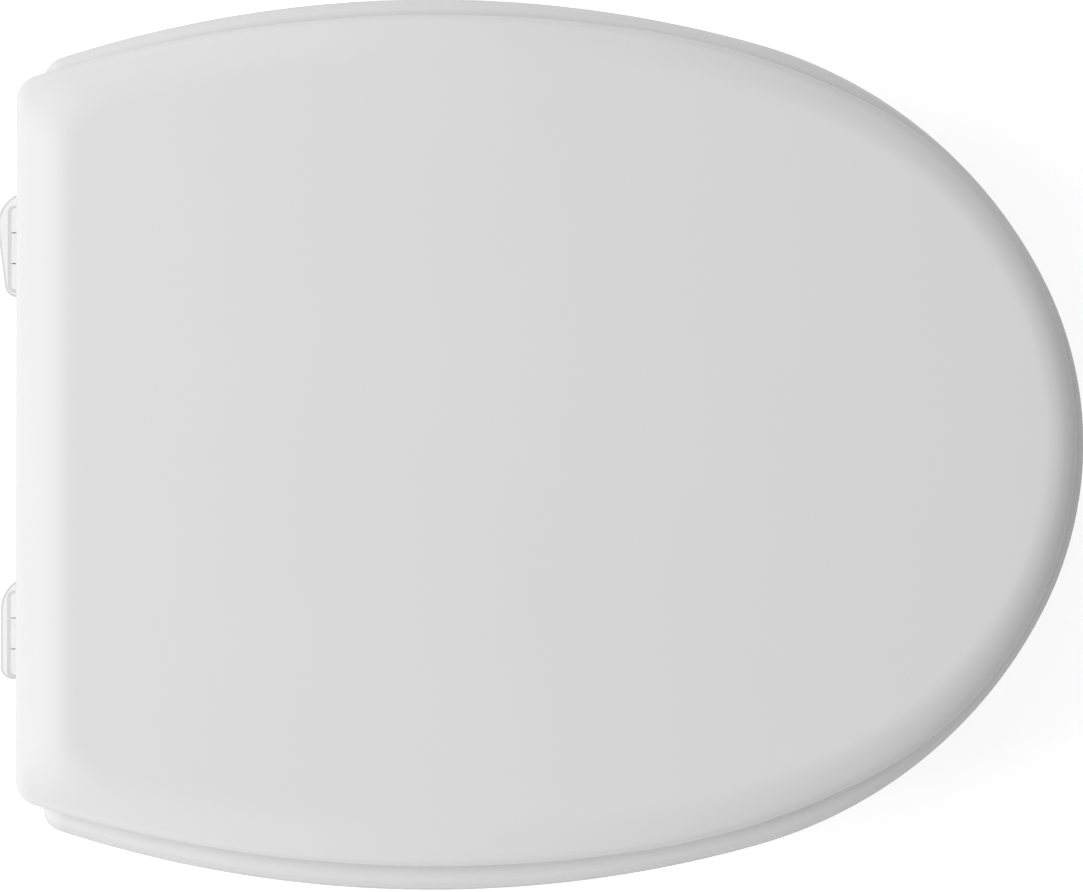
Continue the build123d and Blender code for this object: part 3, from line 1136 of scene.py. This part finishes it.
@dataclass(frozen=True)
class Softbox:
    """Square softbox that faces the seat: place and edge length in metres, power in watts."""

    name: str
    place: tuple[float, float, float]
    power: float
    size: float


@dataclass
class Studio:
    """Pale floor, soft light from the rear and the sides, and the camera above the lid.

    Lengths are in metres, the tilt is in degrees and the sensor's width in millimetres.
    """

    floor_height: float = -0.085
    floor_size: float = 9.0
    floor_grey: float = 0.85
    sky: float = 0.375
    sky_sides: float = 0.34
    sky_slope: float = 0.31
    floor_lift: float = 0.58
    softboxes: tuple[Softbox, ...] = (
        Softbox("rear_softbox", (-0.10, 1.35, 1.55), 21.5, 1.6),
        Softbox("right_softbox", (1.30, 0.10, 0.25), 1.5, 0.5),
        Softbox("left_softbox", (-1.30, 0.40, 0.25), 1.3, 0.5),
    )
    aim: tuple[float, float, float] = (-0.0007, -0.2026, 0.015)
    distance: float = 12.0
    reach: float = 200.0
    tilt: float = 5.0
    frame_width: float = 0.4345
    sensor: float = 36.0

    def build(self) -> None:
        """Set up floor, sky, lamps, camera and view."""
        bpy.context.scene.view_settings.view_transform = "Standard"
        self.build_floor()
        self.build_sky()
        for softbox in self.softboxes:
            self.build_lamp(softbox)
        self.build_camera()

    def build_floor(self) -> None:
        """Lay a wide pale floor that keeps the shadow and is clear from below."""
        deselect_all()
        bpy.ops.mesh.primitive_plane_add(size=self.floor_size, location=(0.0, 0.0, self.floor_height))
        floor = bpy.context.active_object
        floor.name = "studio_floor"
        material = bpy.data.materials.new("studio_floor")
        material.use_nodes = True
        sheet = NodeSheet(material.node_tree)
        output = sheet.add("ShaderNodeOutputMaterial")
        grey = self.floor_grey
        matt = sheet.add("ShaderNodeBsdfDiffuse", Color=(grey, grey, grey, 1.0))
        glow = sheet.add("ShaderNodeEmission", Strength=1.0)
        path = sheet.add("ShaderNodeLightPath")
        strength = sheet.add("ShaderNodeMath", operation="MULTIPLY")
        strength.inputs[1].default_value = self.floor_lift
        both = sheet.add("ShaderNodeAddShader")
        clear = sheet.add("ShaderNodeBsdfTransparent")
        geometry = sheet.add("ShaderNodeNewGeometry")
        pick = sheet.add("ShaderNodeMixShader")
        sheet.join(path.outputs["Is Camera Ray"], strength.inputs[0])
        sheet.join(strength.outputs[0], glow.inputs["Strength"])
        sheet.join(matt.outputs[0], both.inputs[0])
        sheet.join(glow.outputs[0], both.inputs[1])
        sheet.join(geometry.outputs["Backfacing"], pick.inputs[0])
        sheet.join(both.outputs[0], pick.inputs[1])
        sheet.join(clear.outputs[0], pick.inputs[2])
        sheet.join(pick.outputs[0], output.inputs["Surface"])
        floor.data.materials.append(material)

    @staticmethod
    def seen_rays(sheet: NodeSheet, path: bpy.types.Node) -> bpy.types.NodeSocket:
        """Join the ray tests that see the white ground.

        Args:
            sheet: sheet of the sky.
            path: its Light Path node.

        Returns:
            Output that is one on camera, glossy and transmission rays.
        """
        first = sheet.add("ShaderNodeMath", operation="MAXIMUM")
        second = sheet.add("ShaderNodeMath", operation="MAXIMUM")
        sheet.join(path.outputs["Is Camera Ray"], first.inputs[0])
        sheet.join(path.outputs["Is Glossy Ray"], first.inputs[1])
        sheet.join(first.outputs[0], second.inputs[0])
        sheet.join(path.outputs["Is Transmission Ray"], second.inputs[1])
        return second.outputs[0]

    def build_sky(self) -> None:
        """Soft light from all round, stronger from the rear and seen as white."""
        world = bpy.data.worlds.new("studio_sky")
        bpy.context.scene.world = world
        world.use_nodes = True
        sheet = NodeSheet(world.node_tree)
        output = sheet.add("ShaderNodeOutputWorld")
        background = sheet.add("ShaderNodeBackground", Color=(1.0, 1.0, 1.0, 1.0))
        path = sheet.add("ShaderNodeLightPath")
        place = sheet.add("ShaderNodeTexCoord")
        split = sheet.add("ShaderNodeSeparateXYZ")
        slope = sheet.add("ShaderNodeMapRange")
        slope.inputs["From Min"].default_value = -1.0
        slope.inputs["To Min"].default_value = self.sky - self.sky_slope
        slope.inputs["To Max"].default_value = self.sky + self.sky_slope
        across = sheet.add("ShaderNodeMath", operation="ABSOLUTE")
        total = sheet.add("ShaderNodeMath", operation="MULTIPLY_ADD")
        total.inputs[1].default_value = self.sky_sides
        blend = sheet.add("ShaderNodeMapRange")
        blend.inputs["To Max"].default_value = 1.0
        sheet.join(place.outputs["Generated"], split.inputs["Vector"])
        sheet.join(split.outputs["Y"], slope.inputs["Value"])
        sheet.join(split.outputs["X"], across.inputs[0])
        sheet.join(across.outputs[0], total.inputs[0])
        sheet.join(slope.outputs["Result"], total.inputs[2])
        sheet.join(total.outputs[0], blend.inputs["To Min"])
        sheet.join(self.seen_rays(sheet, path), blend.inputs["Value"])
        sheet.join(blend.outputs["Result"], background.inputs["Strength"])
        sheet.join(background.outputs[0], output.inputs["Surface"])

    def build_lamp(self, softbox: Softbox) -> None:
        """Hang a softbox that neither shows nor reflects.

        Args:
            softbox: its place, size and power.
        """
        lamp = bpy.data.lights.new(softbox.name, "AREA")
        lamp.shape = "SQUARE"
        lamp.size = softbox.size
        lamp.energy = softbox.power
        holder = bpy.data.objects.new(softbox.name, lamp)
        bpy.context.scene.collection.objects.link(holder)
        holder.location = softbox.place
        holder.visible_camera = False
        holder.visible_glossy = False
        facing = Vector(self.aim) - Vector(softbox.place)
        holder.rotation_euler = facing.to_track_quat("-Z", "Y").to_euler()

    def build_camera(self) -> None:
        """Set a long lens above the lid, with the rear of the seat to the left of the picture."""
        tilt = radians(self.tilt)
        right = Vector((0.0, -1.0, 0.0))
        up = Vector((cos(tilt), 0.0, sin(tilt)))
        back = right.cross(up)
        data = bpy.data.cameras.new("photo_camera")
        data.sensor_width = self.sensor
        data.lens = self.sensor * self.distance / self.frame_width
        data.clip_end = self.reach
        camera = bpy.data.objects.new("photo_camera", data)
        bpy.context.scene.collection.objects.link(camera)
        turn = Matrix((right, up, back)).transposed().to_4x4()
        camera.matrix_world = Matrix.Translation(Vector(self.aim) + back * self.distance) @ turn
        bpy.context.scene.camera = camera


def main() -> None:
    """Build the seat's pieces and the studio, in order."""
    logging.basicConfig(level=logging.INFO, format="%(name)s %(message)s")
    dresser = Dresser()
    for assembly in (Lid(), Ring(), Studs(), Screws(), HingeMetal()):
        assembly.build(dresser)
    Studio().build()


if __name__ == "__main__":
    main()
